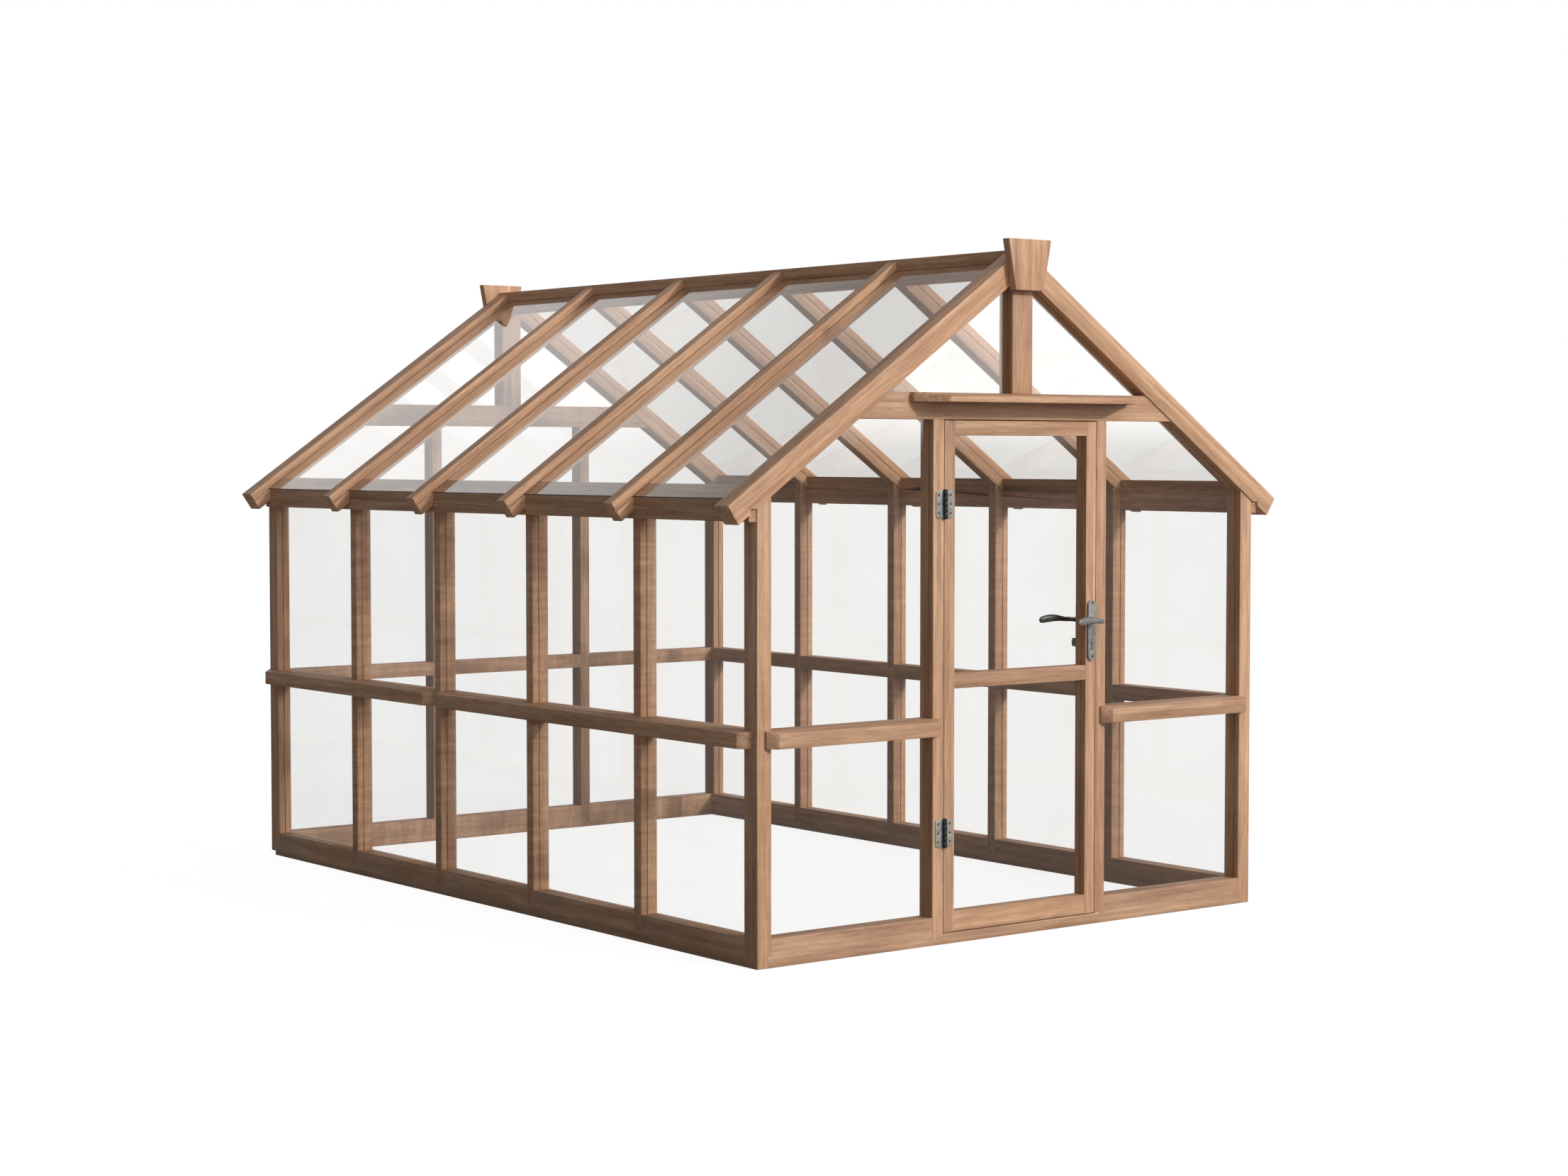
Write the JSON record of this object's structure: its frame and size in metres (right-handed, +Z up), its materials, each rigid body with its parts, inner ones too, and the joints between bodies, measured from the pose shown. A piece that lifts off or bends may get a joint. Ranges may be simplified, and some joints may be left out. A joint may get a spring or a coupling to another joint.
{
  "type": "wooden greenhouse",
  "caption": "Gabled timber greenhouse with grooved posts and rafters, full glazing, ridge keystones, a small canopy and a hinged half-glazed door with a lever lock.",
  "frame": {"origin": "on the ground at the centre of the bounding box", "axes": "+X across the front to its right as seen from outside, +Y from the door to the back wall, +Z up"},
  "size_m": [2.6516, 3.686, 2.517],
  "materials": {
    "timber": "oiled",
    "glass": "clear",
    "pewter": "satin",
    "steel": "satin"
  },
  "bodies": {
    "frame": {"sill_front": "timber", "sill_back": "timber", "sill_left": "timber", "sill_right": "timber", "corner_post_front_left": "timber", "corner_post_front_right": "timber", "corner_post_back_left": "timber", "corner_post_back_right": "timber", "side_posts_left": "timber", "side_posts_right": "timber", "hinge_post": "timber", "latch_post": "timber", "back_studs": "timber", "plate_left": "timber", "plate_right": "timber", "gable_rafters_front": "timber", "gable_rafters_back": "timber", "rafters_left": "timber", "rafters_right": "timber", "ridge": "timber", "keystone_front": "timber", "keystone_back": "timber", "king_post_front": "timber", "king_post_back": "timber", "tie_front": "timber", "tie_back": "timber", "canopy": "timber", "mid_rails_front": "timber", "mid_rail_back": "timber", "mid_rails_left": "timber", "mid_rails_right": "timber", "door_stops": "timber", "glass_left": "glass", "glass_right": "glass", "glass_front": "glass", "glass_back": "glass", "roof_glass_left": "glass", "roof_glass_right": "glass", "hinge_frame_leaves": "pewter", "hinge_pins": "steel", "frame_screws": "steel", "strike_plate": "steel"},
    "door": {"door_hinge_stile": "timber", "door_latch_stile": "timber", "door_top_rail": "timber", "door_mid_rail": "timber", "door_bottom_rail": "timber", "door_glass": "glass", "hinge_door_leaves": "pewter", "door_screws": "steel", "backplate_outer": "pewter", "backplate_inner": "pewter", "lock_case": "steel", "lock_cylinder": "steel"},
    "lever": {"lever_outer": "pewter", "lever_inner": "pewter", "spindle": "steel"},
    "latch": {"latch_bolt": "steel"},
    "turn": {"thumb_turn": "pewter"},
    "deadbolt": {"dead_bolt": "steel"}
  },
  "joints": [
    {"name": "door_swing", "type": "hinge", "parent": "frame", "child": "door", "pos_m": [-0.37025, -1.728, 0.95], "axis": [0, 0, -1], "range_deg": [0, 145]},
    {"name": "lever_press", "type": "hinge", "parent": "door", "child": "lever", "pos_m": [0.3475, -1.6915, 1.131], "axis": [0, -1, 0], "range_deg": [0, 45], "stiffness_Nm_per_rad": 1.2, "springref_deg": -34.38},
    {"name": "latch_draw", "type": "slide", "parent": "door", "child": "latch", "axis": [-1, 0, 0], "range_m": [0, 0.012]},
    {"name": "thumb_turn", "type": "hinge", "parent": "door", "child": "turn", "pos_m": [0.3475, -1.649, 1.046], "axis": [0, 1, 0], "range_deg": [0, 90]},
    {"name": "dead_bolt_throw", "type": "slide", "parent": "door", "child": "deadbolt", "axis": [1, 0, 0], "range_m": [0, 0.014]}
  ],
  "couplings": [
    {"joint": "latch_draw", "follows": "lever_press", "m_per_rad": 0.01527},
    {"joint": "dead_bolt_throw", "follows": "thumb_turn", "m_per_rad": 0.00891}
  ]
}
